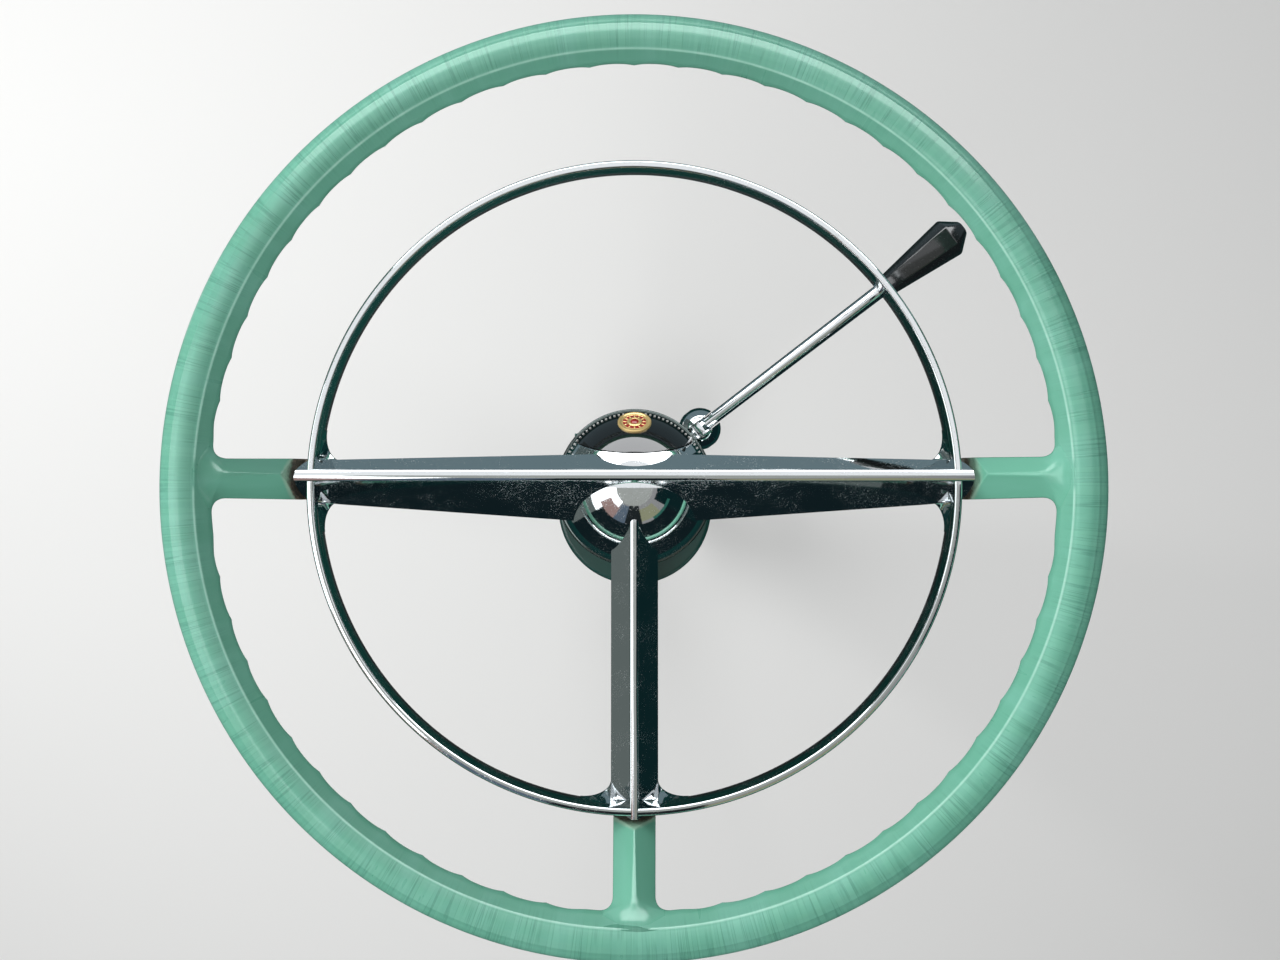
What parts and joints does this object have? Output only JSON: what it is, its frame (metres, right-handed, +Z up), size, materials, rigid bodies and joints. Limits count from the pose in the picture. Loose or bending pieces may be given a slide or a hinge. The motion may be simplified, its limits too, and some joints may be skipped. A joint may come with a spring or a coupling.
{
  "type": "car steering wheel and column",
  "caption": "Steering wheel with horn ring on its column, with a gear selector lever and a turn signal lever.",
  "frame": {"origin": "centre of the lower flange's underside, on the steering axis", "axes": "+Z up the column towards the driver, +Y towards twelve o'clock, +X towards the driver's right"},
  "size_m": [0.457, 0.457, 0.8884],
  "materials": {
    "jade_plastic": "pale jade green, fine radial grain, polished by hands",
    "chrome": "bright plating with light scratches and haze",
    "black_lens": "clear acrylic over black, high gloss",
    "ornament_brass": "gilt ring round red enamel",
    "black_plastic": "moulded black, glossy",
    "column_paint": "dark green metallic enamel",
    "black_paint": "satin black",
    "plain_steel": "oiled, darkened",
    "flange_iron": "as cast, machined face",
    "bush_brass": "turned",
    "seal_rubber": "matt moulded rubber"
  },
  "bodies": {
    "column": {"mast_jacket": "column_paint", "gear_flange": "flange_iron", "toe_plate": "black_paint", "floor_seal": "seal_rubber", "dash_bracket": "column_paint", "dash_strap": "column_paint", "clamp_bolts": "plain_steel", "lower_bearing": "bush_brass", "upper_bearing": "bush_brass", "signal_housing": "column_paint", "signal_pin": "plain_steel"},
    "wheel": {"steering_shaft": "plain_steel", "wheel_core": "jade_plastic", "rim": "jade_plastic", "horn_ring": "chrome", "medallion": "black_lens", "hub_ornament": "ornament_brass", "hub_bezel": "chrome"},
    "selector": {"shift_bowl": "column_paint", "lever_knuckle": "chrome", "knuckle_pin": "plain_steel", "lever_shaft": "chrome", "lever_knob": "black_plastic", "shift_tube": "plain_steel", "lower_lever": "plain_steel"},
    "signal": {"signal_lever": "chrome", "signal_knob": "black_plastic"}
  },
  "joints": [
    {"name": "steering", "type": "hinge", "parent": "column", "child": "wheel", "pos_m": [0, 0, 0.82], "axis": [0, 0, 1], "continuous": true},
    {"name": "gear_select", "type": "hinge", "parent": "column", "child": "selector", "pos_m": [0, 0, 0.768], "axis": [0, 0, 1], "range_deg": [-45, 0]},
    {"name": "turn_signal", "type": "hinge", "parent": "column", "child": "signal", "pos_m": [-0.05, 0.003, 0.7975], "axis": [0, 0, 1], "range_deg": [-12, 12]}
  ]
}
